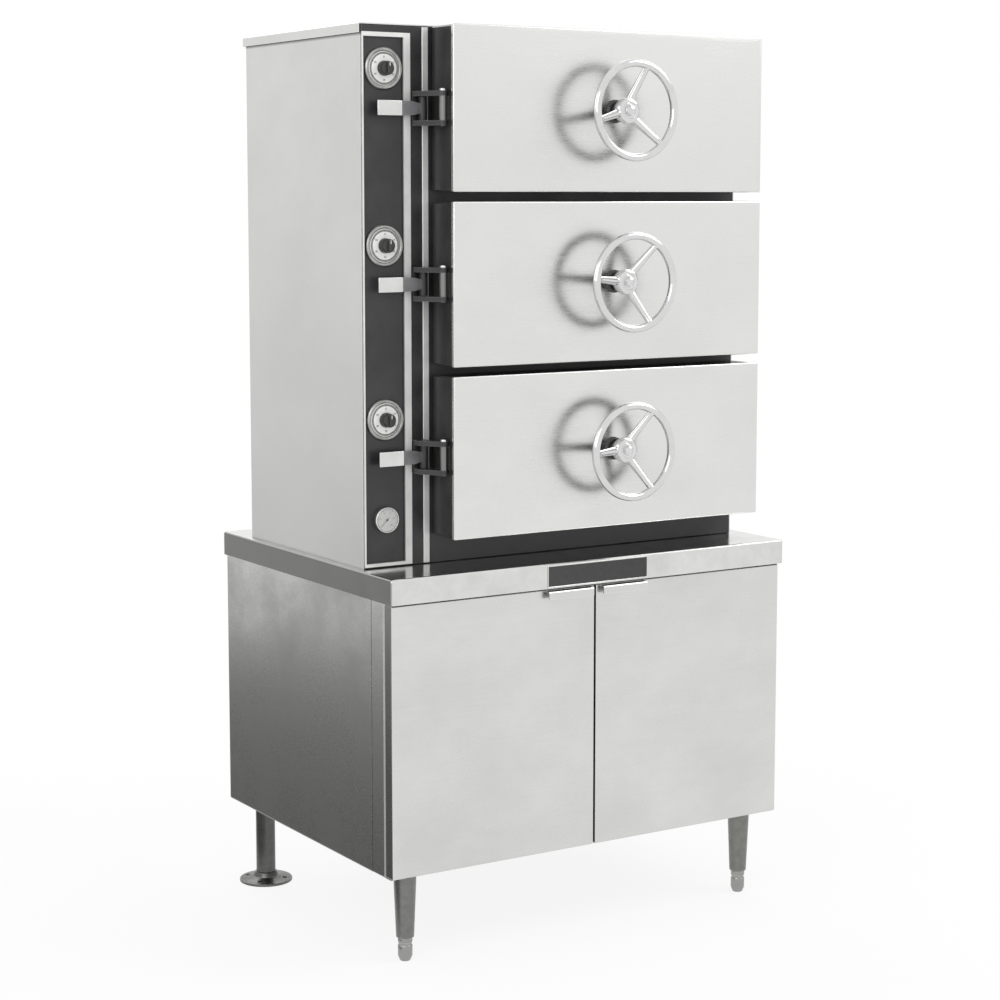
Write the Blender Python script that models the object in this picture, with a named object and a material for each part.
"""Three-compartment pressure steamer on a boiler cabinet, in metres, +Z up.

The plan frame used while modelling has x to the right from the left edge of the base top,
y to the back from the front edge of the base top, and z up from the floor.
Every piece hangs on one empty that puts the middle of the whole steamer over the origin.
"""

import math

import bmesh
import bpy
from mathutils import Matrix, Vector

# Common values
GAP = 0.0003
SHEET = 0.002
FOLD = 0.003
OVERRUN = 0.010
BORE_CLEARANCE = 0.0004
ROUND_STEPS = 16
ROUND_PROFILE_SHARE = 0.5
SMOOTH_ANGLE = math.radians(35)
FLAT_ANGLE = math.radians(0.02)
WELD_DISTANCE = GAP / 100
SLOT_END_SHARE = 0.45

# Base cabinet
BASE_WIDTH = 0.914
BASE_DEPTH = 0.711
LEG_HEIGHT = 0.172
CABINET_HEIGHT = 0.568
APRON_DROP = 0.048
APRON_FOLD = 0.005
CABINET_INSET = 0.005
CABINET_FLANGE = 0.025
FRONT_POST_DEPTH = 0.049
FRONT_POST_WIDTH = 0.038
FRONT_RAIL_HEIGHT = 0.045
BACK_PANEL_MARGIN = 0.008
VENT_COLUMNS = 4
VENT_ROWS = 2
VENT_LENGTH = 0.140
VENT_HEIGHT = 0.012
VENT_PITCH_X = 0.190
VENT_PITCH_Z = 0.030

# Base doors and their pivots
BASE_DOOR_THICKNESS = 0.027
BASE_DOOR_SETBACK = 0.009
BASE_DOOR_BACK_GAP = 0.001
BASE_DOOR_LIP = 0.016
BASE_DOOR_MEETING_GAP = 0.003
BASE_DOOR_TOP_GAP = 0.002
PULL_LENGTH = 0.103
PULL_REACH = 0.013
PULL_DROP = 0.019
PULL_WALL = 0.002
PULL_FROM_MEETING_EDGE = 0.010
PIVOT_FROM_EDGE = 0.007
PIVOT_RADIUS = 0.003
PIVOT_LENGTH = 0.008
PIVOT_TAB_MARGIN = 0.0015

# Legs and feet
LEG_INSET = 0.060
LEG_TOP_RADIUS = 0.022
LEG_COLLAR_RADIUS = 0.026
LEG_COLLAR_HEIGHT = 0.006
LEG_BOTTOM_RADIUS = 0.017
FRONT_FOOT_SHOWING = 0.045
FRONT_FOOT_RADIUS = 0.014
FRONT_FOOT_TIP_RADIUS = 0.010
FRONT_FOOT_GROOVE_DEPTH = 0.0015
FRONT_FOOT_GROOVE_HEIGHT = 0.005
STEM_RADIUS = 0.009
STEM_LENGTH = 0.055
STEM_SPARE = 0.010
REAR_TUBE_RADIUS = 0.0200
REAR_FOOT_HEIGHT = 0.020
REAR_FOOT_RADIUS = 0.055
REAR_FOOT_PLATE = 0.005
REAR_FOOT_BOSS_RADIUS = 0.026
REAR_BOLT_RADIUS = 0.0055
REAR_BOLT_CIRCLE = 0.041
REAR_BOLT_COUNT = 4

# Boiler and its steam riser
BOILER_RADIUS = 0.150
BOILER_LEFT = 0.110
BOILER_RIGHT_CLEARANCE = 0.244
BOILER_FROM_BACK = 0.281
BOILER_HEAD_DEPTH = 0.045
BOILER_HEAD_STEPS = 3
BOILER_WALL = 0.006
BOILER_CLEAR_UNDER = 0.045
SADDLE_WIDTH = 0.040
SADDLE_HEIGHT = 0.080
SADDLE_SPREAD = 0.220
SADDLE_FROM_END = 0.110
ELEMENT_FLANGE_RADIUS = 0.080
ELEMENT_FLANGE_DEPTH = 0.016
TERMINAL_COVER_RADIUS = 0.055
TERMINAL_COVER_DEPTH = 0.050
NOZZLE_RADIUS = 0.034
NOZZLE_BORE_RADIUS = 0.020
NOZZLE_HEIGHT = 0.030
RISER_FROM_BOILER_END = 0.055
RISER_RADIUS = 0.022
RISER_TOP_BELOW = 0.090
RISER_FLANGE_DEPTH = 0.012
BRANCH_RADIUS = 0.013

# Upper casing
BODY_LEFT = 0.015
BODY_RIGHT_MARGIN = 0.035
BODY_FRONT = 0.132
BODY_BACK_MARGIN = 0.104
COVER_SKIRT = 0.018
COVER_OVERHANG = 0.003
FRONT_RETURN = 0.020
FRONT_FOLD = 0.0016

# Compartments
CONTROL_COLUMN_WIDTH = 0.148
DOOR_OVERHANG = 0.002
DOOR_HEIGHT = 0.307
DOOR_SPACING = 0.017
PLINTH_HEIGHT = 0.053
LEVELS = ("bottom", "middle", "top")
MOUTH_SIDE_MARGIN = 0.064
MOUTH_END_MARGIN = 0.041
LINER_BACK_CLEARANCE = 0.0427
LINER_WALL = 0.003
LINER_CORNER = 0.028
FLANGE_WIDTH = 0.019
FLANGE_SEAT_GAP = 0.0007
RACK_SIDE_CLEARANCE = 0.004
RACK_END_CLEARANCE = 0.017
RACK_FRONT_CLEARANCE = 0.028
RACK_LEDGE = 0.018
RACK_LEDGES = 3
RACK_ROD_RADIUS = 0.004
RACK_WINDOW_MARGIN = 0.040
RACK_WINDOW_HEIGHT = 0.026

# Steam doors
DOOR_STAND_OFF = 0.085
CROSS_BREAK_RISE = 0.003
DOOR_SKIN = 0.0015
DOOR_SKIRT = 0.008
DOOR_BACK_GAP = 0.0025
DOOR_BODY_LIP = 0.012
GASKET_WIDTH = 0.012
GASKET_DEPTH = 0.0085
GASKET_REST_GAP = 0.0033
GROOVE_DEPTH = 0.0025
PLATE_SKIN = 0.005
PLATE_RIM = 0.007
PLATE_RIM_HEIGHT = 0.012
PLATE_RIB = 0.006
PLATE_BOSS_RADIUS = 0.024
PLATE_BOSS_HEIGHT = 0.018
PLATE_BOSS_FLOOR = 0.004
PLATE_RIB_SHARES = (-0.55, 0.0, 0.55)

# Handwheels and latches
WHEEL_RADIUS = 0.096
WHEEL_TUBE_RADIUS = 0.0075
WHEEL_STAND_OFF = 0.072
WHEEL_DISH = 0.032
WHEEL_STEPS = 28
RIM_SECTION_STEPS = 7
WHEEL_HUB_RADIUS = 0.024
WHEEL_HUB_DEPTH = 0.026
WHEEL_NUT_RADIUS = 0.0105
WHEEL_NUT_DEPTH = 0.007
SPOKE_COUNT = 3
SPOKE_ROOT_RADIUS = 0.0090
SPOKE_TIP_RADIUS = 0.0062
WHEEL_REST_DEG = {"bottom": 60.0, "middle": 55.0, "top": 73.0}
SPINDLE_RADIUS = 0.012
SPINDLE_ENGAGEMENT = 0.013
BUSH_RADIUS = 0.022
BUSH_STEP_RADIUS = 0.030
BUSH_PROUD = 0.008
BUSH_DEPTH = 0.030
LATCH_HEIGHT = 0.020
LATCH_THICKNESS = 0.008
LATCH_FROM_SPINDLE = 0.038
LATCH_BEHIND_PLATE = 0.004
LATCH_CLEARANCE = 0.0004
GUIDE_WIDTH = 0.014
GUIDE_MARGIN = 0.008
KEEPER_THICKNESS = 0.004
KEEPER_FROM_DOOR_EDGE = 0.015
KEEPER_MARGIN = 0.010
KEEPER_GAP = 0.002

# Hinges of the steam doors
HINGE_HEIGHT = 0.063
HINGE_EAR = 0.009
HINGE_ROOT_FROM_DOOR = 0.042
HINGE_ROOT_WIDTH = 0.023
HINGE_ROOT_PLATE = 0.006
HINGE_PIN_FROM_DOOR = 0.008
HINGE_PIN_FORWARD = 0.060
HINGE_PIN_RADIUS = 0.0045
HINGE_PIN_HEAD_RADIUS = 0.0065
HINGE_PIN_HEAD = 0.004
HINGE_EYE_RADIUS = 0.0078
HINGE_EAR_RADIUS = 0.0075
HINGE_EAR_ARC_DEG = (205, 380)
HINGE_LUG_DEPTH = 0.016
HINGE_LUG_BITE = 0.001
HINGE_SIDE_GAP = 0.0004

# Steam levers
LEVER_PIVOT_FROM_DOOR = 0.025
LEVER_PIVOT_FORWARD = 0.016
LEVER_HUB_RADIUS = 0.008
LEVER_PIN_RADIUS = 0.003
LEVER_LENGTH = 0.097
LEVER_HEIGHT = 0.028
LEVER_THICKNESS = 0.004
LEVER_TIP_ROUND = 0.002
LEVER_TAPER = 0.023

# Control column
TRIM_FROM_DOOR = 0.018
TRIM_WIDTH = 0.013
TRIM_THICKNESS = 0.002
TRIM_END_GAP = 0.002
BEZEL_FROM_SIDE = 0.0026
BEZEL_WIDTH = 0.1014
BEZEL_BOTTOM_GAP = 0.003
BEZEL_TOP_GAP = 0.016
BEZEL_THICKNESS = 0.003
BEZEL_LEFT_FRAME = 0.0029
BEZEL_RIGHT_FRAME = 0.014
BEZEL_BOTTOM_FRAME = 0.006
BEZEL_TOP_FRAME = 0.008
PANEL_THICKNESS = 0.002
PANEL_LAND = 0.001
TIMER_FROM_SIDE = 0.049
TIMER_RISE = 0.072
TIMER_RING_RADIUS = 0.0395
TIMER_RING_WALL = 0.006
TIMER_RING_HEIGHT = 0.005
DIAL_RADIUS = 0.0315
DIAL_EDGE = 0.002
DIAL_THICKNESS = 0.0035
DIAL_STAND_OFF = 0.0015
KNOB_RADIUS = 0.0135
KNOB_TAPER = 0.0015
KNOB_HEIGHT = 0.017
KNOB_BAR_WIDTH = 0.008
KNOB_BAR_HEIGHT = 0.006
TIMER_SHAFT_RADIUS = 0.003
TIMER_SHAFT_BEHIND = 0.020
GAUGE_FROM_SIDE = 0.047
GAUGE_RISE = 0.091
GAUGE_RADIUS = 0.025
GAUGE_DEPTH = 0.013
GAUGE_RIM = 0.002
GAUGE_FACE_RECESS = 0.002
GAUGE_STEM_RADIUS = 0.007
GAUGE_STEM_LENGTH = 0.030

# Heights and planes that follow from the sizes above
BASE_TOP = LEG_HEIGHT + CABINET_HEIGHT
BODY_RIGHT = BASE_WIDTH - BODY_RIGHT_MARGIN
BODY_BACK = BASE_DEPTH - BODY_BACK_MARGIN
BODY_HEIGHT = PLINTH_HEIGHT + len(LEVELS) * DOOR_HEIGHT + (len(LEVELS) - 1) * DOOR_SPACING
BODY_TOP = BASE_TOP + BODY_HEIGHT
BODY_FOOT = BASE_TOP + GAP
DOOR_LEFT = BODY_LEFT + CONTROL_COLUMN_WIDTH
DOOR_RIGHT = BODY_RIGHT + DOOR_OVERHANG
DOOR_WIDTH = DOOR_RIGHT - DOOR_LEFT
DOOR_CENTRE_X = DOOR_LEFT + DOOR_WIDTH / 2
DOOR_PITCH = DOOR_HEIGHT + DOOR_SPACING
DOOR_FACE = BODY_FRONT - DOOR_STAND_OFF
SEAT_FACE = BODY_FRONT - FLANGE_SEAT_GAP - LINER_WALL
MOUTH_WIDTH = DOOR_WIDTH - 2 * MOUTH_SIDE_MARGIN
MOUTH_HEIGHT = DOOR_HEIGHT - 2 * MOUTH_END_MARGIN
LINER_DEPTH = BODY_BACK - LINER_BACK_CLEARANCE - SEAT_FACE
RACK_HEIGHT = MOUTH_HEIGHT - 2 * RACK_END_CLEARANCE
RACK_DEPTH = LINER_DEPTH - LINER_CORNER - RACK_FRONT_CLEARANCE
RACK_WINDOW_LENGTH = RACK_DEPTH - 2 * RACK_WINDOW_MARGIN
PIN_Y = BODY_FRONT - HINGE_PIN_FORWARD
LEVER_Y = BODY_FRONT - LEVER_PIVOT_FORWARD
HINGE_ROOT_LEFT = DOOR_LEFT - HINGE_ROOT_FROM_DOOR
HINGE_PIN_X = DOOR_LEFT - HINGE_PIN_FROM_DOOR
LEVER_PIVOT_X = DOOR_LEFT - LEVER_PIVOT_FROM_DOOR
LEVER_TIP_X = LEVER_PIVOT_X - LEVER_LENGTH
TRIM_X = DOOR_LEFT - TRIM_FROM_DOOR
TIMER_X = BODY_LEFT + TIMER_FROM_SIDE
GAUGE_X = BODY_LEFT + GAUGE_FROM_SIDE
GAUGE_Z = BASE_TOP + GAUGE_RISE
BEZEL_LEFT = BODY_LEFT + BEZEL_FROM_SIDE
BEZEL_RIGHT = BEZEL_LEFT + BEZEL_WIDTH
BEZEL_BOTTOM = BASE_TOP + BEZEL_BOTTOM_GAP
BEZEL_TOP = BODY_TOP - BEZEL_TOP_GAP
WINDOW_LEFT = BEZEL_LEFT + BEZEL_LEFT_FRAME
WINDOW_RIGHT = BEZEL_RIGHT - BEZEL_RIGHT_FRAME
WINDOW_BOTTOM = BEZEL_BOTTOM + BEZEL_BOTTOM_FRAME
WINDOW_TOP = BEZEL_TOP - BEZEL_TOP_FRAME
CABINET_LEFT = CABINET_INSET
CABINET_RIGHT = BASE_WIDTH - CABINET_INSET
CABINET_BACK = BASE_DEPTH - CABINET_INSET
CABINET_TOP = BASE_TOP - SHEET - GAP
POST_FRONT = BASE_DOOR_SETBACK + BASE_DOOR_THICKNESS + BASE_DOOR_BACK_GAP
POST_BACK = POST_FRONT + FRONT_POST_DEPTH
SIDE_FRONT = POST_BACK + GAP
PIVOT_Y = BASE_DOOR_SETBACK + BASE_DOOR_THICKNESS / 2
BASE_DOOR_BOTTOM = LEG_HEIGHT + SHEET + 2 * GAP
BASE_DOOR_TOP = BASE_TOP - APRON_DROP - BASE_DOOR_TOP_GAP
GASKET_BACK = SEAT_FACE - GASKET_REST_GAP
GASKET_FRONT = GASKET_BACK - GASKET_DEPTH
PLATE_BACK = GASKET_FRONT - GAP + GROOVE_DEPTH
PLATE_SKIN_FRONT = PLATE_BACK - PLATE_SKIN
PLATE_RIM_FRONT = PLATE_BACK - PLATE_RIM_HEIGHT
PLATE_BOSS_FRONT = PLATE_SKIN_FRONT - PLATE_BOSS_HEIGHT
WHEEL_PLANE = DOOR_FACE - WHEEL_STAND_OFF
HUB_PLANE = WHEEL_PLANE + WHEEL_DISH
HUB_FRONT = HUB_PLANE - WHEEL_HUB_DEPTH / 2
HUB_BACK = HUB_PLANE + WHEEL_HUB_DEPTH / 2
BODY_PAN_FRONT = DOOR_FACE + DOOR_SKIN + GAP
BUSH_FRONT = DOOR_FACE - CROSS_BREAK_RISE - BUSH_PROUD
BUSH_BACK = BODY_PAN_FRONT + BUSH_DEPTH
LATCH_BACK = PLATE_RIM_FRONT - LATCH_BEHIND_PLATE
LATCH_FRONT = LATCH_BACK - LATCH_THICKNESS
KEEPER_X = DOOR_RIGHT - KEEPER_FROM_DOOR_EDGE
LATCH_TIP = KEEPER_X - KEEPER_THICKNESS - KEEPER_GAP
LATCH_LEFT = DOOR_CENTRE_X + LATCH_FROM_SPINDLE
LATCH_LENGTH = LATCH_TIP - LATCH_LEFT
FRONT_MOST = WHEEL_PLANE - WHEEL_TUBE_RADIUS
MIDDLE_Y = (FRONT_MOST + BASE_DEPTH) / 2
FLOOR_TOP = LEG_HEIGHT + 2 * (SHEET + GAP)
BOILER_AXIS_Y = BASE_DEPTH - BOILER_FROM_BACK
BOILER_LENGTH = BASE_WIDTH - BOILER_LEFT - BOILER_RIGHT_CLEARANCE
RISER_X = BOILER_LEFT + RISER_FROM_BOILER_END
BOILER_AXIS_Z = FLOOR_TOP + BOILER_CLEAR_UNDER + BOILER_RADIUS


def door_centre_z(level):
    """Height of the middle of one steam door, and of its handwheel, hinge and lever."""
    return BASE_TOP + PLINTH_HEIGHT + DOOR_HEIGHT / 2 + LEVELS.index(level) * DOOR_PITCH


# Modelling helpers
def add_object(name, form):
    """Turn a bmesh into an object of its own."""
    mesh = bpy.data.meshes.new(name)
    form.to_mesh(mesh)
    form.free()
    piece = bpy.data.objects.new(name, mesh)
    bpy.context.collection.objects.link(piece)
    return piece


def realise(piece):
    """Replace the mesh by the one that the modifiers give, with its flat faces whole."""
    bpy.context.view_layer.update()
    depsgraph = bpy.context.evaluated_depsgraph_get()
    mesh = bpy.data.meshes.new_from_object(piece.evaluated_get(depsgraph))
    piece.modifiers.clear()
    form = bmesh.new()
    form.from_mesh(mesh)
    bmesh.ops.remove_doubles(form, verts=form.verts, dist=WELD_DISTANCE)
    bmesh.ops.dissolve_degenerate(form, edges=form.edges, dist=WELD_DISTANCE)
    bmesh.ops.dissolve_limit(form, angle_limit=FLAT_ANGLE, verts=form.verts, edges=form.edges)
    form.to_mesh(mesh)
    form.free()
    piece.data = mesh
    return piece


def gather(tools):
    """Put separate tools into one mesh, so that one Boolean uses them all."""
    form = bmesh.new()
    for tool in tools:
        form.from_mesh(tool.data)
        bpy.data.objects.remove(tool)
    return add_object("tools", form)


def combine(piece, tools, operation):
    """Join tools to a piece, or cut them out of it. The tools keep clear of each other."""
    modifier = piece.modifiers.new(operation.title(), "BOOLEAN")
    modifier.operation = operation
    modifier.solver = "EXACT"
    modifier.object = gather(tools)
    tool = modifier.object
    realise(piece)
    bpy.data.objects.remove(tool)
    return piece


def join(piece, *tools):
    """Weld tools on to a piece."""
    return combine(piece, tools, "UNION")


def cut(piece, *tools):
    """Take tools out of a piece."""
    return combine(piece, tools, "DIFFERENCE")


def box_form(low, high):
    """A bmesh box between two corners."""
    form = bmesh.new()
    size = Vector(high) - Vector(low)
    place = Matrix.Translation((Vector(high) + Vector(low)) / 2) @ Matrix.Diagonal(size.to_4d())
    bmesh.ops.create_cube(form, size=1.0, matrix=place)
    return form


def box(name, low, high):
    """A box between two corners as an object."""
    return add_object(name, box_form(low, high))


SIDE_NORMALS = {
    "-x": Vector((-1, 0, 0)), "+x": Vector((1, 0, 0)),
    "-y": Vector((0, -1, 0)), "+y": Vector((0, 1, 0)),
    "-z": Vector((0, 0, -1)), "+z": Vector((0, 0, 1)),
}


def faces_towards(form, side):
    """The flat faces of a box form that look to one side."""
    return [face for face in form.faces if face.normal.dot(SIDE_NORMALS[side]) > 0.999]


def pan(name, low, high, open_sides, radius=FOLD, wall=SHEET, lip=0.0, steps=2, rise=None):
    """A folded sheet pan: a box with rounded folds, open sides and a wall thickness inside.

    lip turns a flange inwards round the one open side. rise is (side, height): it lifts the
    middle of that side to a shallow pyramid.
    """
    form = box_form(low, high)
    open_faces = set()
    for side in open_sides:
        open_faces.update(faces_towards(form, side))
    folds = [edge for edge in form.edges
             if lip or not any(face in open_faces for face in edge.link_faces)]
    bmesh.ops.bevel(form, geom=folds, offset=radius, segments=steps,
                    profile=ROUND_PROFILE_SHARE, affect="EDGES")
    form.normal_update()
    doomed = [face for side in open_sides for face in faces_towards(form, side)]
    if lip:
        bmesh.ops.inset_region(form, faces=doomed, thickness=lip - radius, use_even_offset=True)
    bmesh.ops.delete(form, geom=doomed, context="FACES")
    if rise:
        side, height = rise
        bmesh.ops.poke(form, faces=faces_towards(form, side), offset=height)
    piece = add_object(name, form)
    solid = piece.modifiers.new("Sheet", "SOLIDIFY")
    solid.thickness = wall
    solid.offset = -1
    solid.use_even_offset = True
    return realise(piece)


AXIS_FRAMES = {
    "x": Matrix(((0, 0, 1), (1, 0, 0), (0, 1, 0))),
    "y": Matrix(((1, 0, 0), (0, 0, 1), (0, 1, 0))),
    "z": Matrix(((1, 0, 0), (0, 1, 0), (0, 0, 1))),
}


def prism(name, outline, axis, start, end):
    """Extrude an outline. It is (y, z) points along x, (x, z) along y or (x, y) along z."""
    turn = AXIS_FRAMES[axis]
    form = bmesh.new()
    corners = [form.verts.new(turn @ Vector((u, v, start))) for u, v in outline]
    face = form.faces.new(corners)
    grown = bmesh.ops.extrude_face_region(form, geom=[face])["geom"]
    moved = [item for item in grown if isinstance(item, bmesh.types.BMVert)]
    bmesh.ops.translate(form, verts=moved, vec=turn @ Vector((0, 0, end - start)))
    bmesh.ops.recalc_face_normals(form, faces=form.faces)
    return add_object(name, form)


def turned(name, profile, axis, centre, steps=ROUND_STEPS, closed=False):
    """Spin a profile of (radius, along) points about an axis through a centre."""
    turn = AXIS_FRAMES[axis]
    form = bmesh.new()
    points = [form.verts.new(turn @ Vector((radius, 0, along))) for radius, along in profile]
    pairs = list(zip(points, points[1:]))
    if closed:
        pairs.append((points[-1], points[0]))
    edges = [form.edges.new(pair) for pair in pairs]
    bmesh.ops.spin(form, geom=points + edges, cent=(0, 0, 0), axis=turn @ Vector((0, 0, 1)),
                   dvec=(0, 0, 0), angle=math.tau, steps=steps, use_merge=True)
    bmesh.ops.remove_doubles(form, verts=form.verts, dist=WELD_DISTANCE)
    bmesh.ops.recalc_face_normals(form, faces=form.faces)
    bmesh.ops.translate(form, verts=form.verts, vec=Vector(centre))
    return add_object(name, form)


def rod(name, start, end, radius, tip_radius=None, steps=ROUND_STEPS):
    """A round bar, or a cone, between two points."""
    form = bmesh.new()
    run = Vector(end) - Vector(start)
    place = Matrix.Translation((Vector(start) + Vector(end)) / 2)
    place = place @ run.to_track_quat("Z", "Y").to_matrix().to_4x4()
    bmesh.ops.create_cone(form, cap_ends=True, segments=steps, radius1=radius,
                          radius2=radius if tip_radius is None else tip_radius,
                          depth=run.length, matrix=place)
    return add_object(name, form)


def arc(centre, radius, start_deg, end_deg, steps):
    """Points along an arc, both ends included."""
    angles = [math.radians(start_deg + (end_deg - start_deg) * step / steps)
              for step in range(steps + 1)]
    return [(centre[0] + radius * math.cos(a), centre[1] + radius * math.sin(a)) for a in angles]


def round_rectangle(low, high, radius, steps=3):
    """Outline of a rectangle with round corners, anticlockwise."""
    outline = []
    for u, v, start in ((high[0] - radius, high[1] - radius, 0),
                        (low[0] + radius, high[1] - radius, 90),
                        (low[0] + radius, low[1] + radius, 180),
                        (high[0] - radius, low[1] + radius, 270)):
        outline += arc((u, v), radius, start, start + 90, steps)
    return outline


def slot_outline(centre, length, height):
    """Outline of a slot with round ends."""
    half = length / 2
    return round_rectangle((centre[0] - half, centre[1] - height / 2),
                           (centre[0] + half, centre[1] + height / 2),
                           height * SLOT_END_SHARE, steps=1)


# Materials
def material(name, colour, metallic, roughness):
    """A Principled material, made once per name."""
    if name in bpy.data.materials:
        return bpy.data.materials[name]
    made = bpy.data.materials.new(name)
    made.use_nodes = True
    shader = made.node_tree.nodes["Principled BSDF"]
    shader.inputs["Base Color"].default_value = (*colour, 1.0)
    shader.inputs["Metallic"].default_value = metallic
    shader.inputs["Roughness"].default_value = roughness
    return made


PALETTE = {
    "stainless": ((0.62, 0.62, 0.61), 1.0, 0.34),
    "polished": ((0.72, 0.72, 0.71), 1.0, 0.16),
    "chrome": ((0.80, 0.80, 0.80), 1.0, 0.08),
    "black_enamel": ((0.022, 0.022, 0.024), 0.0, 0.38),
    "black_plastic": ((0.020, 0.020, 0.020), 0.0, 0.45),
    "cast_aluminium": ((0.50, 0.50, 0.50), 1.0, 0.48),
    "silicone": ((0.33, 0.33, 0.31), 0.0, 0.70),
    "boiler_steel": ((0.20, 0.21, 0.22), 0.6, 0.55),
    "pipe_steel": ((0.38, 0.37, 0.35), 1.0, 0.50),
    "white_face": ((0.78, 0.78, 0.75), 0.0, 0.40),
}


def finish(piece, material_name, pivot=None):
    """Give a piece its material, smooth its round faces and put its origin on its pivot."""
    piece.data.materials.clear()
    piece.data.materials.append(material(material_name, *PALETTE[material_name]))
    piece.data.shade_smooth()
    piece.data.set_sharp_from_angle(angle=SMOOTH_ANGLE)
    if pivot is not None:
        piece.data.transform(Matrix.Translation(-Vector(pivot)))
        piece.location = pivot
    piece.parent = bpy.data.objects["steamer_origin"]
    return piece


# Base cabinet
def make_base_top():
    """Top of the base: a deep-edged pan with a hole for the steam riser."""
    top = pan("base_top", (0, 0, BASE_TOP - APRON_DROP), (BASE_WIDTH, BASE_DEPTH, BASE_TOP),
              ("-z",), radius=APRON_FOLD, steps=3)
    hole = rod("riser_hole", (RISER_X, BOILER_AXIS_Y, BASE_TOP - OVERRUN),
               (RISER_X, BOILER_AXIS_Y, BASE_TOP + OVERRUN), RISER_RADIUS + FOLD)
    cut(top, hole)
    finish(top, "polished")


def make_base_front_frame():
    """Ring of folded sheet that the base doors close on, with their pivot tabs."""
    low = (CABINET_LEFT, POST_FRONT, LEG_HEIGHT)
    high = (CABINET_RIGHT, POST_BACK, CABINET_TOP)
    frame = pan("base_front_frame", low, high, ("+y",), lip=CABINET_FLANGE, steps=1)
    doorway = box("doorway",
                  (CABINET_LEFT + FRONT_POST_WIDTH, POST_FRONT - OVERRUN,
                   LEG_HEIGHT + FRONT_POST_WIDTH),
                  (CABINET_RIGHT - FRONT_POST_WIDTH, POST_FRONT + OVERRUN,
                   CABINET_TOP - FRONT_RAIL_HEIGHT))
    cut(frame, doorway)
    for side in (-1, 1):
        x = pivot_x(side)
        reach = PIVOT_RADIUS + PIVOT_TAB_MARGIN
        for end, into_door in ((BASE_DOOR_BOTTOM - GAP, 1), (BASE_DOOR_TOP + GAP, -1)):
            outside = end - into_door * SHEET
            tab = box("tab", (x - reach, PIVOT_Y - reach, min(end, outside)),
                      (x + reach, POST_FRONT + FOLD + SHEET, max(end, outside)))
            pin = rod("pin", (x, PIVOT_Y, end - into_door * SHEET / 2),
                      (x, PIVOT_Y, end + into_door * PIVOT_LENGTH), PIVOT_RADIUS)
            join(frame, join(tab, pin))
    finish(frame, "stainless")


def pivot_x(side):
    """Where a base door's pivot line stands: side is -1 at the left and 1 at the right."""
    return CABINET_LEFT + PIVOT_FROM_EDGE if side < 0 else CABINET_RIGHT - PIVOT_FROM_EDGE


def make_base_side(name, side):
    """Side panel with folded flanges at the back and the bottom."""
    outer = CABINET_LEFT if side < 0 else CABINET_RIGHT
    inner = outer - side * CABINET_FLANGE
    panel = pan(name, (min(outer, inner), SIDE_FRONT, LEG_HEIGHT),
                (max(outer, inner), CABINET_BACK, CABINET_TOP),
                ("+x" if side < 0 else "-x", "-y", "+z"))
    finish(panel, "stainless")


def make_base_floor_pan():
    """Floor of the cabinet, a shallow tray on the flanges of the sides."""
    low = (CABINET_LEFT + SHEET + GAP, SIDE_FRONT, LEG_HEIGHT + SHEET + GAP)
    high = (CABINET_RIGHT - SHEET - GAP, CABINET_BACK - SHEET - GAP,
            LEG_HEIGHT + SHEET + GAP + CABINET_FLANGE)
    finish(pan("base_floor_pan", low, high, ("+z",), steps=1), "stainless")


def make_base_back_panel():
    """Back sheet with rows of vent slots, outside the flanges of the sides."""
    front = CABINET_BACK + GAP
    panel = box("base_back_panel",
                (BACK_PANEL_MARGIN, front, LEG_HEIGHT + BACK_PANEL_MARGIN),
                (BASE_WIDTH - BACK_PANEL_MARGIN, front + SHEET, CABINET_TOP - BACK_PANEL_MARGIN))
    top_row = BASE_TOP - APRON_DROP - 2 * VENT_PITCH_Z
    vents = []
    for row in range(VENT_ROWS):
        for column in range(VENT_COLUMNS):
            x = BASE_WIDTH / 2 + (column - (VENT_COLUMNS - 1) / 2) * VENT_PITCH_X
            outline = slot_outline((x, top_row - row * VENT_PITCH_Z), VENT_LENGTH, VENT_HEIGHT)
            vents.append(prism("vent", outline, "y", front - OVERRUN, front + OVERRUN))
    finish(cut(panel, *vents), "stainless")


def make_base_door(name, side):
    """Pan door with a turned-in lip, a pull along its top and two pivot holes."""
    outer = CABINET_LEFT if side < 0 else CABINET_RIGHT
    meeting = BASE_WIDTH / 2 + side * BASE_DOOR_MEETING_GAP / 2
    back = BASE_DOOR_SETBACK + BASE_DOOR_THICKNESS
    door = pan(name, (min(outer, meeting), BASE_DOOR_SETBACK, BASE_DOOR_BOTTOM),
               (max(outer, meeting), back, BASE_DOOR_TOP), ("+y",), wall=DOOR_SKIN,
               lip=BASE_DOOR_LIP, steps=2)
    near = meeting + side * PULL_FROM_MEETING_EDGE
    far = near + side * PULL_LENGTH
    front = BASE_DOOR_SETBACK - PULL_REACH
    bend = PULL_WALL * 2
    root = BASE_DOOR_SETBACK + DOOR_SKIN / 2
    under = BASE_DOOR_TOP - FOLD
    outline = [(root, under), (front + bend, under)]
    outline += arc((front + bend, under - bend), bend, 90, 180, 4)[1:]
    low = BASE_DOOR_TOP - PULL_DROP
    outline += [(front, low), (front + PULL_WALL, low)]
    outline += arc((front + bend, under - bend), bend - PULL_WALL, 180, 90, 4)
    outline += [(root, under - PULL_WALL)]
    join(door, prism("pull", outline, "x", min(near, far), max(near, far)))
    x = pivot_x(side)
    for end in (BASE_DOOR_BOTTOM, BASE_DOOR_TOP):
        cut(door, rod("pivot_hole", (x, PIVOT_Y, end - OVERRUN / 2),
                      (x, PIVOT_Y, end + OVERRUN / 2), PIVOT_RADIUS + GAP))
    finish(door, "stainless", (x, PIVOT_Y, BASE_DOOR_BOTTOM))


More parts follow.
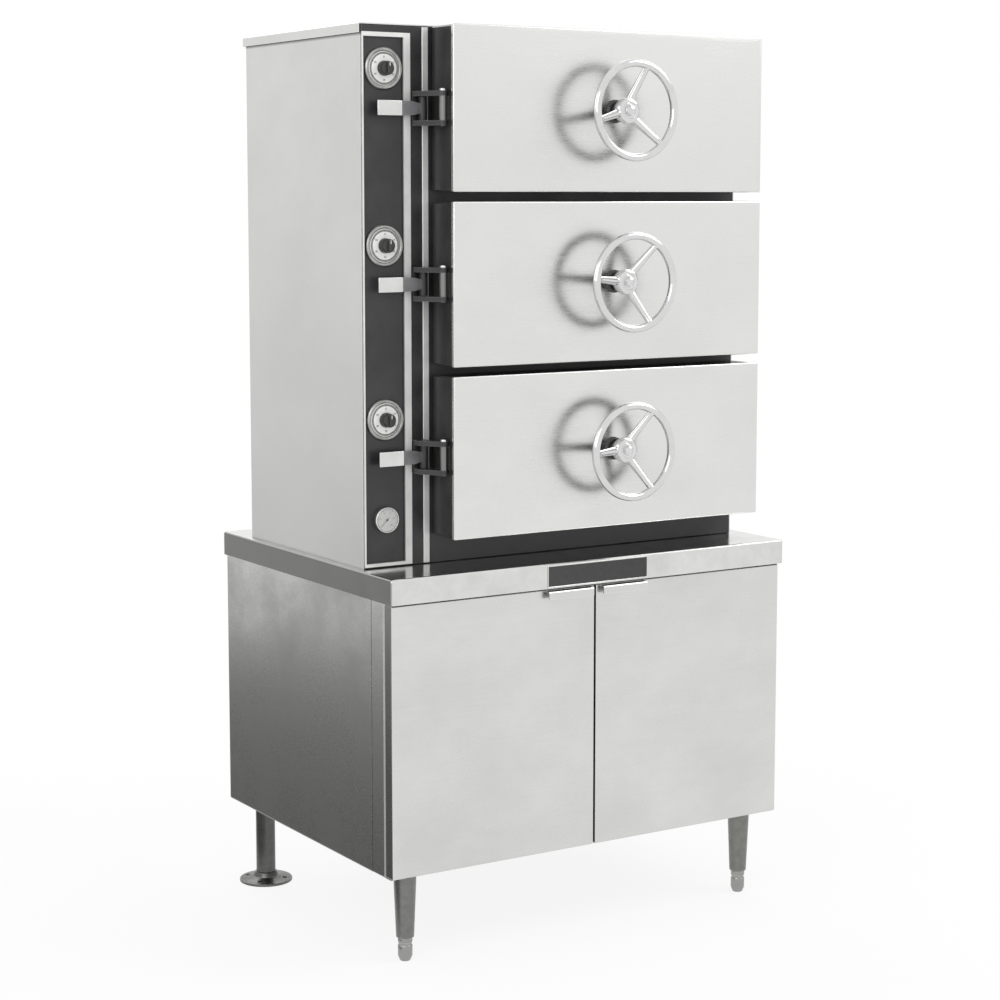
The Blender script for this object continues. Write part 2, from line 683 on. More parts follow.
# Legs and feet
def leg_places():
    """Plan position of each leg by name."""
    left, right = LEG_INSET, BASE_WIDTH - LEG_INSET
    front, back = LEG_INSET, BASE_DEPTH - LEG_INSET
    return {"front_left": (left, front), "front_right": (right, front),
            "rear_left": (left, back), "rear_right": (right, back)}


def make_front_leg(place, x, y):
    """Tapered leg with a screwed-in foot below."""
    top = LEG_HEIGHT - GAP
    bottom = FRONT_FOOT_SHOWING + GAP
    socket_top = bottom + STEM_LENGTH + STEM_SPARE
    bore = STEM_RADIUS + BORE_CLEARANCE
    profile = [(0, top), (LEG_COLLAR_RADIUS, top), (LEG_COLLAR_RADIUS, top - LEG_COLLAR_HEIGHT),
               (LEG_TOP_RADIUS, top - LEG_COLLAR_HEIGHT - FOLD), (LEG_BOTTOM_RADIUS, bottom),
               (bore, bottom), (bore, socket_top), (0, socket_top)]
    finish(turned("leg_" + place, profile, "z", (x, y, 0)), "cast_aluminium")
    shown = FRONT_FOOT_SHOWING
    groove = FRONT_FOOT_RADIUS - FRONT_FOOT_GROOVE_DEPTH
    ring = FRONT_FOOT_GROOVE_HEIGHT
    profile = [(0, 0), (FRONT_FOOT_TIP_RADIUS, 0), (FRONT_FOOT_RADIUS, 2 * ring),
               (FRONT_FOOT_RADIUS, shown - 3 * ring), (groove, shown - 3 * ring),
               (groove, shown - 2 * ring), (FRONT_FOOT_RADIUS, shown - 2 * ring),
               (FRONT_FOOT_RADIUS, shown), (STEM_RADIUS, shown),
               (STEM_RADIUS, shown + STEM_LENGTH), (0, shown + STEM_LENGTH)]
    foot = turned("foot_" + place, profile, "z", (x, y, 0))
    finish(foot, "stainless", (x, y, 0))


def make_rear_leg(place, x, y):
    """Straight tube leg up to the floor pan, with a flanged foot that can be bolted down."""
    top = LEG_HEIGHT + SHEET
    bottom = REAR_FOOT_HEIGHT + GAP
    socket_top = bottom + STEM_LENGTH + STEM_SPARE
    bore = STEM_RADIUS + BORE_CLEARANCE
    profile = [(0, top), (LEG_COLLAR_RADIUS, top), (LEG_COLLAR_RADIUS, top - LEG_COLLAR_HEIGHT),
               (REAR_TUBE_RADIUS, top - LEG_COLLAR_HEIGHT), (REAR_TUBE_RADIUS, bottom),
               (bore, bottom), (bore, socket_top), (0, socket_top)]
    finish(turned("leg_" + place, profile, "z", (x, y, 0)), "cast_aluminium")
    profile = [(0, 0), (REAR_FOOT_RADIUS, 0), (REAR_FOOT_RADIUS, REAR_FOOT_PLATE),
               (REAR_FOOT_BOSS_RADIUS, REAR_FOOT_PLATE * 2),
               (REAR_FOOT_BOSS_RADIUS - FOLD, REAR_FOOT_HEIGHT), (STEM_RADIUS, REAR_FOOT_HEIGHT),
               (STEM_RADIUS, REAR_FOOT_HEIGHT + STEM_LENGTH), (0, REAR_FOOT_HEIGHT + STEM_LENGTH)]
    foot = turned("foot_" + place, profile, "z", (x, y, 0))
    for bolt in range(REAR_BOLT_COUNT):
        angle = math.tau * (bolt + 0.5) / REAR_BOLT_COUNT
        bx = x + REAR_BOLT_CIRCLE * math.cos(angle)
        by = y + REAR_BOLT_CIRCLE * math.sin(angle)
        cut(foot, rod("bolt_hole", (bx, by, -OVERRUN), (bx, by, 2 * OVERRUN), REAR_BOLT_RADIUS,
                      steps=8))
    finish(foot, "cast_aluminium", (x, y, 0))


# Boiler and riser
def dished_shell(name, inset):
    """Turned form of the boiler with dished heads, made smaller all round by inset."""
    radius = BOILER_RADIUS - inset
    depth = BOILER_HEAD_DEPTH - inset
    left = BOILER_LEFT + BOILER_HEAD_DEPTH
    right = BOILER_LEFT + BOILER_LENGTH - BOILER_HEAD_DEPTH
    angles = [math.pi / 2 * step / BOILER_HEAD_STEPS for step in range(BOILER_HEAD_STEPS + 1)]
    profile = [(radius * math.sin(a), left - depth * math.cos(a)) for a in angles]
    profile += [(radius * math.sin(a), right + depth * math.cos(a)) for a in reversed(angles)]
    return turned(name, profile, "x", (0, BOILER_AXIS_Y, BOILER_AXIS_Z))


def make_boiler():
    """Horizontal boiler shell with dished heads, saddles, element flange and steam nozzle."""
    right = BOILER_LEFT + BOILER_LENGTH
    straight_right = right - BOILER_HEAD_DEPTH
    boiler = dished_shell("boiler", 0)
    half = SADDLE_SPREAD / 2
    for x in (BOILER_LEFT + SADDLE_FROM_END, right - SADDLE_FROM_END):
        outline = [(BOILER_AXIS_Y - half, FLOOR_TOP), (BOILER_AXIS_Y + half, FLOOR_TOP),
                   (BOILER_AXIS_Y + half, FLOOR_TOP + SADDLE_HEIGHT),
                   (BOILER_AXIS_Y - half, FLOOR_TOP + SADDLE_HEIGHT)]
        join(boiler, prism("saddle", outline, "x", x - SADDLE_WIDTH / 2, x + SADDLE_WIDTH / 2))
    centre = (BOILER_AXIS_Y, BOILER_AXIS_Z)
    face = right + ELEMENT_FLANGE_DEPTH
    join(boiler, rod("flange", (straight_right, *centre), (face, *centre), ELEMENT_FLANGE_RADIUS))
    join(boiler, rod("terminals", (right, *centre), (face + TERMINAL_COVER_DEPTH, *centre),
                     TERMINAL_COVER_RADIUS))
    shell_top = BOILER_AXIS_Z + BOILER_RADIUS
    join(boiler, rod("nozzle", (RISER_X, BOILER_AXIS_Y, BOILER_AXIS_Z),
                     (RISER_X, BOILER_AXIS_Y, shell_top + NOZZLE_HEIGHT), NOZZLE_RADIUS))
    cut(boiler, dished_shell("water_space", BOILER_WALL))
    cut(boiler, rod("nozzle_bore", (RISER_X, BOILER_AXIS_Y, BOILER_AXIS_Z),
                    (RISER_X, BOILER_AXIS_Y, shell_top + NOZZLE_HEIGHT + OVERRUN),
                    NOZZLE_BORE_RADIUS))
    finish(boiler, "boiler_steel")


def make_steam_riser():
    """Pipe from the boiler nozzle up through the base top, with a branch to each compartment."""
    foot = BOILER_AXIS_Z + BOILER_RADIUS + NOZZLE_HEIGHT + GAP
    head = BODY_TOP - RISER_TOP_BELOW
    riser = rod("steam_riser", (RISER_X, BOILER_AXIS_Y, foot), (RISER_X, BOILER_AXIS_Y, head),
                RISER_RADIUS)
    join(riser, rod("riser_flange", (RISER_X, BOILER_AXIS_Y, foot - GAP / 3),
                    (RISER_X, BOILER_AXIS_Y, foot + RISER_FLANGE_DEPTH), NOZZLE_RADIUS))
    liner_left = DOOR_CENTRE_X - MOUTH_WIDTH / 2 - LINER_WALL
    for level in LEVELS:
        z = door_centre_z(level)
        join(riser, rod("branch", (RISER_X, BOILER_AXIS_Y, z),
                        (liner_left - GAP, BOILER_AXIS_Y, z), BRANCH_RADIUS))
    finish(riser, "pipe_steel")


# Upper casing
def make_body_side(name, side):
    """Side of the casing with a folded return at the back."""
    outer = BODY_LEFT if side < 0 else BODY_RIGHT
    inner = outer - side * CABINET_FLANGE
    panel = pan(name, (min(outer, inner), BODY_FRONT, BODY_FOOT),
                (max(outer, inner), BODY_BACK, BODY_TOP - SHEET - GAP),
                ("+x" if side < 0 else "-x", "-y", "-z", "+z"))
    finish(panel, "stainless")


def make_body_top_cover():
    """Lid of the casing with a skirt over the sides and the back."""
    low = (BODY_LEFT - COVER_OVERHANG, BODY_FRONT, BODY_TOP - COVER_SKIRT)
    high = (BODY_RIGHT + COVER_OVERHANG, BODY_BACK + SHEET + 2 * COVER_OVERHANG, BODY_TOP)
    finish(pan("body_top_cover", low, high, ("-z", "-y")), "stainless")


def make_body_back_panel():
    """Back sheet of the casing, on the returns of the sides."""
    front = BODY_BACK + GAP
    panel = box("body_back_panel", (BODY_LEFT + COVER_OVERHANG, front, BODY_FOOT),
                (BODY_RIGHT - COVER_OVERHANG, front + SHEET, BODY_TOP - COVER_SKIRT - FOLD))
    finish(panel, "stainless")


def make_body_front_frame():
    """Black front of the casing with the control window, three mouths and the latch keepers."""
    low = (BODY_LEFT + SHEET + GAP, BODY_FRONT, BODY_FOOT)
    high = (BODY_RIGHT - SHEET - GAP, BODY_FRONT + FRONT_RETURN, BODY_TOP - SHEET - GAP)
    front = pan("body_front_frame", low, high, ("+y",), radius=FRONT_FOLD, steps=1)
    land = PANEL_LAND
    cut(front, box("control_window",
                   (WINDOW_LEFT + land, BODY_FRONT - OVERRUN, WINDOW_BOTTOM + land),
                   (WINDOW_RIGHT - land, BODY_FRONT + OVERRUN, WINDOW_TOP - land)))
    reach = LINER_WALL + BORE_CLEARANCE
    for level in LEVELS:
        z = door_centre_z(level)
        outline = round_rectangle(
            (DOOR_CENTRE_X - MOUTH_WIDTH / 2 - reach, z - MOUTH_HEIGHT / 2 - reach),
            (DOOR_CENTRE_X + MOUTH_WIDTH / 2 + reach, z + MOUTH_HEIGHT / 2 + reach),
            LINER_CORNER)
        cut(front, prism("mouth", outline, "y", BODY_FRONT - OVERRUN, BODY_FRONT + OVERRUN))
        join(front, make_keeper(door_centre_z(level)))
    finish(front, "black_enamel")


def make_keeper(z):
    """Web that stands out of the front into the door, with the slot for the latch bolt."""
    half = LATCH_HEIGHT / 2 + KEEPER_MARGIN
    web = box("keeper", (KEEPER_X - KEEPER_THICKNESS, LATCH_FRONT - KEEPER_MARGIN, z - half),
              (KEEPER_X, BODY_FRONT + SHEET / 2, z + half))
    play = LATCH_CLEARANCE + GAP
    slot = box("keeper_slot",
               (KEEPER_X - OVERRUN, LATCH_FRONT - play, z - LATCH_HEIGHT / 2 - play),
               (KEEPER_X + OVERRUN, LATCH_BACK + play, z + LATCH_HEIGHT / 2 + play))
    return cut(web, slot)


def make_liner(level):
    """Cooking compartment: a deep pan with round corners and a flange round its mouth."""
    z = door_centre_z(level)
    left = DOOR_CENTRE_X - MOUTH_WIDTH / 2
    right = DOOR_CENTRE_X + MOUTH_WIDTH / 2
    bottom = z - MOUTH_HEIGHT / 2
    top = z + MOUTH_HEIGHT / 2
    form = box_form((left, SEAT_FACE, bottom), (right, SEAT_FACE + LINER_DEPTH, top))
    mouth = faces_towards(form, "-y")
    folds = [edge for edge in form.edges if mouth[0] not in edge.link_faces]
    bmesh.ops.bevel(form, geom=folds, offset=LINER_CORNER, segments=3, profile=ROUND_PROFILE_SHARE,
                    affect="EDGES")
    form.normal_update()
    bmesh.ops.delete(form, geom=faces_towards(form, "-y"), context="FACES")
    rim = [edge for edge in form.edges if edge.is_boundary]
    grown = bmesh.ops.extrude_edge_only(form, edges=rim)["geom"]
    for corner in (item for item in grown if isinstance(item, bmesh.types.BMVert)):
        inner_x = min(max(corner.co.x, left + LINER_CORNER), right - LINER_CORNER)
        inner_z = min(max(corner.co.z, bottom + LINER_CORNER), top - LINER_CORNER)
        outward = Vector((corner.co.x - inner_x, 0, corner.co.z - inner_z)).normalized()
        corner.co += outward * FLANGE_WIDTH
    bmesh.ops.recalc_face_normals(form, faces=form.faces)
    liner = add_object("compartment_liner_" + level, form)
    solid = liner.modifiers.new("Sheet", "SOLIDIFY")
    solid.thickness = LINER_WALL
    solid.offset = 1
    solid.use_even_offset = True
    realise(liner)
    finish(liner, "stainless")


def rack_outline(x, side, bottom):
    """Section of one rack side: an upright with pan ledges turned inwards."""
    inward = -side
    points = [(x, bottom), (x, bottom + RACK_HEIGHT)]
    step = RACK_HEIGHT / (RACK_LEDGES + 1)
    edge = x + inward * SHEET
    points.append((edge, bottom + RACK_HEIGHT))
    for ledge in range(RACK_LEDGES, 0, -1):
        z = bottom + ledge * step
        tip = edge + inward * RACK_LEDGE
        points += [(edge, z + SHEET), (tip, z + SHEET), (tip, z), (edge, z)]
    points.append((edge, bottom))
    return points


def make_rack_side(side, bottom, front, back):
    """One ledged side of a rack with rows of windows between the ledges."""
    reach = MOUTH_WIDTH / 2 - RACK_SIDE_CLEARANCE
    x = DOOR_CENTRE_X + side * reach
    upright = prism("rack_side", rack_outline(x, side, bottom), "y", front, back)
    step = RACK_HEIGHT / (RACK_LEDGES + 1)
    windows = []
    for band in range(1, RACK_LEDGES + 1):
        centre = ((front + back) / 2, bottom + (band + 0.5) * step + SHEET / 2)
        outline = slot_outline(centre, RACK_WINDOW_LENGTH, RACK_WINDOW_HEIGHT)
        windows.append(prism("window", outline, "x", x - 3 * SHEET, x + 3 * SHEET))
    return cut(upright, *windows)


def make_rack(level):
    """Pan rack: two ledged sides with windows, tied by cross rods."""
    bottom = door_centre_z(level) - RACK_HEIGHT / 2
    back = SEAT_FACE + LINER_DEPTH - LINER_CORNER
    front = back - RACK_DEPTH
    rack = make_rack_side(-1, bottom, front, back)
    rack.name = "pan_rack_" + level
    join(rack, make_rack_side(1, bottom, front, back))
    tie = bottom + 1.5 * RACK_ROD_RADIUS
    end = MOUTH_WIDTH / 2 - RACK_SIDE_CLEARANCE - SHEET / 2
    for y in (front + RACK_LEDGE / 2, back - RACK_LEDGE / 2):
        join(rack, rod("tie", (DOOR_CENTRE_X - end, y, tie), (DOOR_CENTRE_X + end, y, tie),
                       RACK_ROD_RADIUS, steps=8))
    finish(rack, "stainless")


# Steam doors
def hinge_pivot(level):
    """Middle of the hinge pin of one steam door."""
    return HINGE_PIN_X, PIN_Y, door_centre_z(level)


def make_door_cover(level):
    """Stainless outer skin, cross-broken to a shallow pyramid, with the spindle hole."""
    z = door_centre_z(level)
    cover = pan("door_cover_" + level, (DOOR_LEFT, DOOR_FACE, z - DOOR_HEIGHT / 2),
                (DOOR_RIGHT, DOOR_FACE + DOOR_SKIRT, z + DOOR_HEIGHT / 2), ("+y",),
                wall=DOOR_SKIN, rise=("-y", CROSS_BREAK_RISE))
    cut(cover, rod("spindle_hole", (DOOR_CENTRE_X, DOOR_FACE - OVERRUN, z),
                   (DOOR_CENTRE_X, DOOR_FACE + OVERRUN, z), BUSH_RADIUS + GAP))
    finish(cover, "stainless", hinge_pivot(level))


def make_door_body(level):
    """Black pan behind the skin, with the spindle bush, latch guides and hinge lug."""
    z = door_centre_z(level)
    inset = DOOR_SKIN + GAP
    body = pan("door_body_" + level,
               (DOOR_LEFT + inset, BODY_PAN_FRONT, z - DOOR_HEIGHT / 2 + inset),
               (DOOR_RIGHT - inset, BODY_FRONT - DOOR_BACK_GAP, z + DOOR_HEIGHT / 2 - inset),
               ("+y",), lip=DOOR_BODY_LIP, steps=1)
    centre = (DOOR_CENTRE_X, 0, z)
    step_front = BODY_PAN_FRONT + SHEET / 2
    bush = [(0, BUSH_FRONT), (BUSH_RADIUS - FOLD, BUSH_FRONT), (BUSH_RADIUS, BUSH_FRONT + FOLD),
            (BUSH_RADIUS, step_front), (BUSH_STEP_RADIUS, step_front + FOLD),
            (BUSH_RADIUS, BUSH_BACK), (0, BUSH_BACK)]
    join(body, turned("bush", bush, "y", centre))
    for x in guide_places():
        join(body, make_guide(x, z))
    pin = hinge_pivot(level)
    half = HINGE_HEIGHT / 2 - HINGE_EAR - HINGE_SIDE_GAP
    wall_x = DOOR_LEFT + inset + HINGE_LUG_BITE
    eye = rod("eye", (pin[0], pin[1], z - half), (pin[0], pin[1], z + half),
              HINGE_EYE_RADIUS)
    lug = box("lug", (pin[0], pin[1] - HINGE_LUG_DEPTH / 2 + FOLD, z - half),
              (wall_x, pin[1] + HINGE_LUG_DEPTH / 2 - FOLD, z + half))
    join(body, join(eye, lug))
    cut(body, rod("bush_bore", (centre[0], BUSH_FRONT - OVERRUN, z),
                  (centre[0], BUSH_BACK + OVERRUN, z), SPINDLE_RADIUS + BORE_CLEARANCE),
        rod("eye_bore", (pin[0], pin[1], z - HINGE_HEIGHT),
            (pin[0], pin[1], z + HINGE_HEIGHT), HINGE_PIN_RADIUS + BORE_CLEARANCE, steps=12))
    finish(body, "black_enamel", pin)


def guide_places():
    """Middle of each latch guide, near the spindle and near the keeper."""
    return LATCH_LEFT + LATCH_LENGTH / 3, LATCH_TIP - GUIDE_WIDTH


def make_guide(x, z):
    """Block on the door pan with a through slot for the latch bolt."""
    half = LATCH_HEIGHT / 2 + GUIDE_MARGIN
    block = box("guide", (x - GUIDE_WIDTH / 2, BODY_PAN_FRONT + SHEET / 2, z - half),
                (x + GUIDE_WIDTH / 2, LATCH_BACK + LATCH_BEHIND_PLATE / 2, z + half))
    play = LATCH_CLEARANCE
    slot = box("guide_slot", (x - GUIDE_WIDTH, LATCH_FRONT - play, z - LATCH_HEIGHT / 2 - play),
               (x + GUIDE_WIDTH, LATCH_BACK + play, z + LATCH_HEIGHT / 2 + play))
    return cut(block, slot)


def gasket_outline(z, offset):
    """Rounded rectangle on the middle of the mouth flange, moved out by offset."""
    out = FLANGE_WIDTH / 2 + offset
    return round_rectangle(
        (DOOR_CENTRE_X - MOUTH_WIDTH / 2 - out, z - MOUTH_HEIGHT / 2 - out),
        (DOOR_CENTRE_X + MOUTH_WIDTH / 2 + out, z + MOUTH_HEIGHT / 2 + out),
        LINER_CORNER + out, steps=2)


def make_gasket(level):
    """Door seal: a frame of silicone that sits in the groove of the pressure plate."""
    z = door_centre_z(level)
    half = GASKET_WIDTH / 2
    gasket = prism("door_gasket_" + level, gasket_outline(z, half), "y", GASKET_FRONT, GASKET_BACK)
    cut(gasket, prism("gasket_hole", gasket_outline(z, -half), "y", GASKET_FRONT - OVERRUN,
                      GASKET_BACK + OVERRUN))
    finish(gasket, "silicone")


def make_pressure_plate(level):
    """Floating plate that presses the gasket on its seat: skin, rim, ribs and a bored boss."""
    z = door_centre_z(level)
    half = GASKET_WIDTH / 2 + GAP
    edge = GASKET_WIDTH / 2 + FOLD
    plate = prism("pressure_plate_" + level, gasket_outline(z, edge), "y", PLATE_RIM_FRONT,
                  PLATE_BACK)
    pocket = gasket_outline(z, edge - PLATE_RIM)
    cut(plate, prism("pocket", pocket, "y", PLATE_RIM_FRONT - OVERRUN, PLATE_SKIN_FRONT))
    groove = prism("groove", gasket_outline(z, half), "y", PLATE_BACK - GROOVE_DEPTH,
                   PLATE_BACK + OVERRUN)
    cut(groove, prism("groove_island", gasket_outline(z, -half), "y", PLATE_BACK - OVERRUN,
                      PLATE_BACK + 2 * OVERRUN))
    cut(plate, groove)
    bite = PLATE_SKIN / 2
    half_width = MOUTH_WIDTH / 2
    half_height = MOUTH_HEIGHT / 2
    rib_front = PLATE_RIM_FRONT + FOLD
    for share in PLATE_RIB_SHARES:
        x = DOOR_CENTRE_X + share * half_width
        join(plate, box("rib", (x - PLATE_RIB / 2, rib_front, z - half_height),
                        (x + PLATE_RIB / 2, PLATE_SKIN_FRONT + bite, z + half_height)))
    join(plate, box("rib", (DOOR_CENTRE_X - half_width, rib_front + GAP, z - PLATE_RIB / 2),
                    (DOOR_CENTRE_X + half_width, PLATE_SKIN_FRONT + bite, z + PLATE_RIB / 2)))
    join(plate, rod("boss", (DOOR_CENTRE_X, PLATE_BOSS_FRONT, z),
                    (DOOR_CENTRE_X, PLATE_SKIN_FRONT + bite, z), PLATE_BOSS_RADIUS))
    cut(plate, rod("boss_bore", (DOOR_CENTRE_X, PLATE_BOSS_FRONT - OVERRUN, z),
                   (DOOR_CENTRE_X, PLATE_BACK - PLATE_BOSS_FLOOR, z),
                   SPINDLE_RADIUS + BORE_CLEARANCE))
    finish(plate, "cast_aluminium")


def make_handwheel(level):
    """Dished wheel with three tapered spokes, on the spindle that reaches the pressure plate."""
    z = door_centre_z(level)
    centre = (DOOR_CENTRE_X, 0, z)
    ring = WHEEL_RADIUS - WHEEL_TUBE_RADIUS
    rim = arc((ring, WHEEL_PLANE), WHEEL_TUBE_RADIUS, -90, 270, RIM_SECTION_STEPS)[:-1]
    wheel = turned("handwheel_" + level, rim, "y", centre, steps=WHEEL_STEPS,
                   closed=True)
    nut_front = HUB_FRONT - WHEEL_NUT_DEPTH
    hub_edge = WHEEL_HUB_RADIUS - FOLD
    hub = [(0, nut_front), (WHEEL_NUT_RADIUS, nut_front), (WHEEL_NUT_RADIUS, HUB_FRONT),
           (hub_edge, HUB_FRONT), (WHEEL_HUB_RADIUS, HUB_FRONT + FOLD),
           (WHEEL_HUB_RADIUS, HUB_PLANE + FOLD), (WHEEL_HUB_RADIUS - 2 * FOLD, HUB_BACK),
           (SPINDLE_RADIUS, HUB_BACK), (SPINDLE_RADIUS, PLATE_BOSS_FRONT + SPINDLE_ENGAGEMENT),
           (0, PLATE_BOSS_FRONT + SPINDLE_ENGAGEMENT)]
    hub_piece = turned("hub", hub, "y", centre, steps=14)
    for spoke in range(SPOKE_COUNT):
        angle = math.radians(WHEEL_REST_DEG[level]) + math.tau * spoke / SPOKE_COUNT
        way = Vector((math.cos(angle), 0, math.sin(angle)))
        root = Vector((DOOR_CENTRE_X, HUB_PLANE, z)) + way * WHEEL_NUT_RADIUS
        tip = Vector((DOOR_CENTRE_X, WHEEL_PLANE, z)) + way * ring
        join(hub_piece, rod("spoke", root, tip, SPOKE_ROOT_RADIUS, SPOKE_TIP_RADIUS, steps=7))
    join(wheel, hub_piece)
    finish(wheel, "chrome", (DOOR_CENTRE_X, WHEEL_PLANE, z))


def make_latch_bolt(level):
    """Flat bolt that the spindle throws into the keeper, with a chamfered nose."""
    z = door_centre_z(level)
    nose = LATCH_THICKNESS / 2
    outline = [(LATCH_LEFT, LATCH_FRONT), (LATCH_TIP - nose, LATCH_FRONT),
               (LATCH_TIP, LATCH_FRONT + nose / 2), (LATCH_TIP, LATCH_BACK - nose / 2),
               (LATCH_TIP - nose, LATCH_BACK), (LATCH_LEFT, LATCH_BACK)]
    bolt = prism("latch_bolt_" + level, outline, "z", z - LATCH_HEIGHT / 2, z + LATCH_HEIGHT / 2)
    finish(bolt, "stainless")


# Hinges and levers
def make_hinge_bracket(level):
    """Forked bracket on the front, with the door's hinge pin through its two ears."""
    z = door_centre_z(level)
    back = BODY_FRONT - GAP
    right = HINGE_ROOT_LEFT + HINGE_ROOT_WIDTH
    half = HINGE_HEIGHT / 2
    bracket = box("hinge_bracket_" + level, (HINGE_ROOT_LEFT, back - HINGE_ROOT_PLATE, z - half),
                  (right, back, z + half))
    outline = [(HINGE_ROOT_LEFT, back - FOLD), (HINGE_ROOT_LEFT, LEVER_Y - LEVER_HUB_RADIUS)]
    outline += arc((HINGE_PIN_X, PIN_Y), HINGE_EAR_RADIUS, *HINGE_EAR_ARC_DEG, steps=5)
    outline += [(right + FOLD, LEVER_Y), (right, back - FOLD)]
    for side in (-1, 1):
        outer = z + side * half
        inner = outer - side * HINGE_EAR
        join(bracket, prism("ear", outline, "z", min(inner, outer), max(inner, outer)))
    for side in (-1, 1):
        inner = z + side * (half - HINGE_EAR - GAP)
        outer = z + side * (half + HINGE_EAR)
        cut(bracket, rod("lever_hole", (LEVER_PIVOT_X, LEVER_Y, inner),
                         (LEVER_PIVOT_X, LEVER_Y, outer), LEVER_PIN_RADIUS + BORE_CLEARANCE,
                         steps=8))
    top = z + half
    bottom = z - half
    profile = [(0, bottom - HINGE_PIN_HEAD / 2), (HINGE_PIN_RADIUS, bottom - HINGE_PIN_HEAD / 2),
               (HINGE_PIN_RADIUS, top - GAP), (HINGE_PIN_HEAD_RADIUS, top - GAP),
               (HINGE_PIN_HEAD_RADIUS, top + HINGE_PIN_HEAD / 2),
               (HINGE_PIN_RADIUS, top + HINGE_PIN_HEAD), (0, top + HINGE_PIN_HEAD)]
    join(bracket, turned("pin", profile, "z", (HINGE_PIN_X, PIN_Y, 0), steps=10))
    finish(bracket, "black_enamel")


def make_steam_lever(level):
    """Flat steam lever on its own pin between the ears of the hinge bracket."""
    z = door_centre_z(level)
    half_bar = LEVER_HEIGHT / 2
    tip = LEVER_TIP_ROUND
    shank = LEVER_PIVOT_X - LEVER_TAPER
    outline = arc((LEVER_TIP_X + tip, z - half_bar + tip), tip, 270, 180, 2)
    outline += arc((LEVER_TIP_X + tip, z + half_bar - tip), tip, 180, 90, 2)
    outline += [(shank, z + half_bar), (LEVER_PIVOT_X, z + LEVER_HUB_RADIUS),
                (LEVER_PIVOT_X, z - LEVER_HUB_RADIUS), (shank, z - half_bar)]
    lever = prism("steam_lever_" + level, outline, "y", LEVER_Y - LEVER_THICKNESS, LEVER_Y)
    inside = HINGE_HEIGHT / 2 - HINGE_EAR - HINGE_SIDE_GAP
    pin = HINGE_HEIGHT / 2 - GAP
    profile = [(0, z - pin), (LEVER_PIN_RADIUS, z - pin), (LEVER_PIN_RADIUS, z - inside),
               (LEVER_HUB_RADIUS, z - inside), (LEVER_HUB_RADIUS, z + inside),
               (LEVER_PIN_RADIUS, z + inside), (LEVER_PIN_RADIUS, z + pin), (0, z + pin)]
    join(lever, turned("hub", profile, "z", (LEVER_PIVOT_X, LEVER_Y, 0), steps=10))
    finish(lever, "polished", (LEVER_PIVOT_X, LEVER_Y, z))


# Control column
def make_control_panel():
    """Panel behind the window, with a ring round each timer and holes for their shafts."""
    front = BODY_FRONT + SHEET + GAP
    back = front + PANEL_THICKNESS
    panel = box("control_panel", (WINDOW_LEFT, front, WINDOW_BOTTOM),
                (WINDOW_RIGHT, back, WINDOW_TOP))
    for level in LEVELS:
        z = door_centre_z(level) + TIMER_RISE
        ring = TIMER_RING_RADIUS
        lip = front - TIMER_RING_HEIGHT
        profile = [(ring, front + PANEL_THICKNESS / 2), (ring - FOLD, lip),
                   (ring - TIMER_RING_WALL, lip),
                   (ring - TIMER_RING_WALL, front + PANEL_THICKNESS / 2)]
        join(panel, turned("ring", profile, "y", (TIMER_X, 0, z), steps=20, closed=True))
        cut(panel, rod("shaft_hole", (TIMER_X, front - OVERRUN, z), (TIMER_X, back + OVERRUN, z),
                       TIMER_SHAFT_RADIUS + BORE_CLEARANCE, steps=8))
    stem = (GAUGE_X, GAUGE_Z)
    cut(panel, rod("gauge_hole", (stem[0], front - OVERRUN, stem[1]),
                   (stem[0], back + OVERRUN, stem[1]), GAUGE_STEM_RADIUS + BORE_CLEARANCE))
    finish(panel, "black_enamel")


def make_control_bezel():
    """Bright frame round the control window."""
    back = BODY_FRONT - GAP
    bezel = box("control_bezel", (BEZEL_LEFT, back - BEZEL_THICKNESS, BEZEL_BOTTOM),
                (BEZEL_RIGHT, back, BEZEL_TOP))
    cut(bezel, box("bezel_window", (WINDOW_LEFT, back - OVERRUN, WINDOW_BOTTOM),
                   (WINDOW_RIGHT, back + OVERRUN, WINDOW_TOP)))
    finish(bezel, "polished")


def make_trim_strip():
    """Bright upright strip between the hinges and the doors."""
    back = BODY_FRONT - GAP
    right = TRIM_X + TRIM_WIDTH
    ridge = TRIM_THICKNESS / 2
    outline = [(TRIM_X, back), (TRIM_X, back - ridge), (TRIM_X + ridge, back - TRIM_THICKNESS),
               (right - ridge, back - TRIM_THICKNESS), (right, back - ridge), (right, back)]
    strip = prism("trim_strip", outline, "z", BODY_FOOT + TRIM_END_GAP,
                  BODY_TOP - SHEET - TRIM_END_GAP)
    finish(strip, "polished")


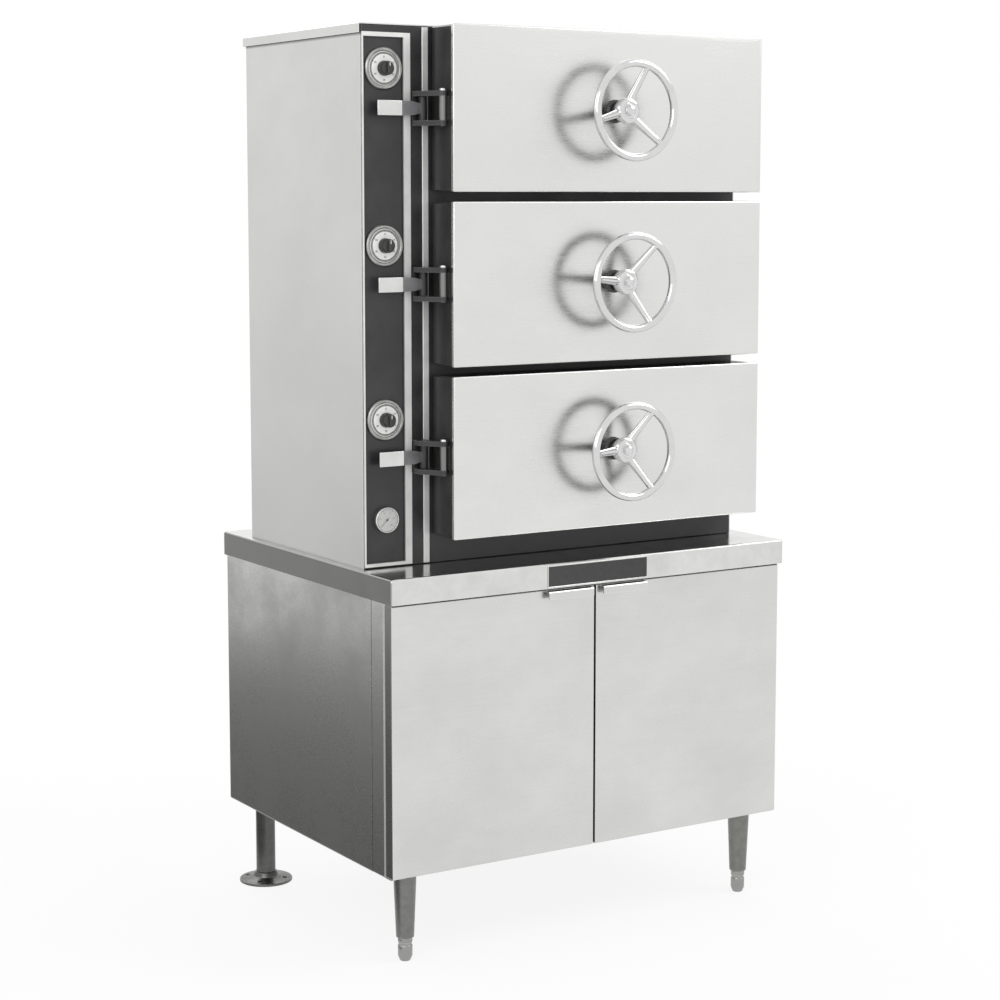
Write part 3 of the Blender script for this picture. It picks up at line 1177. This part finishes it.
def make_timer_knob(level):
    """Timer dial with its pointer knob and the shaft that passes through the panel."""
    z = door_centre_z(level) + TIMER_RISE
    panel_front = BODY_FRONT + SHEET + GAP
    dial_back = panel_front - DIAL_STAND_OFF
    dial_front = dial_back - DIAL_THICKNESS
    grip = dial_front - KNOB_HEIGHT
    behind = panel_front + TIMER_SHAFT_BEHIND
    profile = [(0, grip), (KNOB_RADIUS - KNOB_TAPER, grip), (KNOB_RADIUS, dial_front),
               (DIAL_RADIUS - DIAL_EDGE, dial_front), (DIAL_RADIUS, dial_back),
               (TIMER_SHAFT_RADIUS, dial_back), (TIMER_SHAFT_RADIUS, behind), (0, behind)]
    knob = turned("timer_knob_" + level, profile, "y", (TIMER_X, 0, z), steps=18)
    half = KNOB_BAR_WIDTH / 2
    join(knob, box("grip_bar", (TIMER_X - half, grip - KNOB_BAR_HEIGHT, z - KNOB_RADIUS + FOLD),
                   (TIMER_X + half, grip + FOLD, z + KNOB_RADIUS - FOLD)))
    finish(knob, "black_plastic", (TIMER_X, dial_back, z))


def make_pressure_gauge():
    """Round boiler pressure gauge with a recessed face and its threaded stem behind."""
    back = BODY_FRONT + SHEET
    front = back - GAUGE_DEPTH
    stem = back + GAUGE_STEM_LENGTH
    rim = GAUGE_RADIUS - GAUGE_RIM
    face = front + GAUGE_FACE_RECESS
    profile = [(0, face), (rim, face), (rim, front), (GAUGE_RADIUS - GAUGE_RIM / 2, front),
               (GAUGE_RADIUS, front + GAUGE_RIM), (GAUGE_RADIUS, back),
               (GAUGE_STEM_RADIUS, back), (GAUGE_STEM_RADIUS, stem), (0, stem)]
    gauge = turned("pressure_gauge", profile, "y", (GAUGE_X, 0, GAUGE_Z))
    finish(gauge, "white_face")


def make_origin():
    """Empty that carries the whole steamer, so that its footprint is centred on the origin."""
    origin = bpy.data.objects.new("steamer_origin", None)
    origin.location = (-BASE_WIDTH / 2, -MIDDLE_Y, 0)
    bpy.context.collection.objects.link(origin)


def make_base():
    make_base_top()
    make_base_front_frame()
    make_base_side("base_left_side", -1)
    make_base_side("base_right_side", 1)
    make_base_floor_pan()
    make_base_back_panel()
    make_base_door("base_door_left", -1)
    make_base_door("base_door_right", 1)
    for place, (x, y) in leg_places().items():
        make_leg = make_front_leg if place.startswith("front") else make_rear_leg
        make_leg(place, x, y)
    make_boiler()
    make_steam_riser()


def make_casing():
    make_body_side("body_left_side", -1)
    make_body_side("body_right_side", 1)
    make_body_top_cover()
    make_body_back_panel()
    make_body_front_frame()
    make_control_panel()
    make_control_bezel()
    make_trim_strip()
    make_pressure_gauge()


def make_compartment(level):
    make_liner(level)
    make_rack(level)
    make_hinge_bracket(level)
    make_door_cover(level)
    make_door_body(level)
    make_pressure_plate(level)
    make_gasket(level)
    make_handwheel(level)
    make_latch_bolt(level)
    make_steam_lever(level)
    make_timer_knob(level)


def main():
    for item in list(bpy.data.objects):
        bpy.data.objects.remove(item)
    make_origin()
    make_base()
    make_casing()
    for level in LEVELS:
        make_compartment(level)


main()
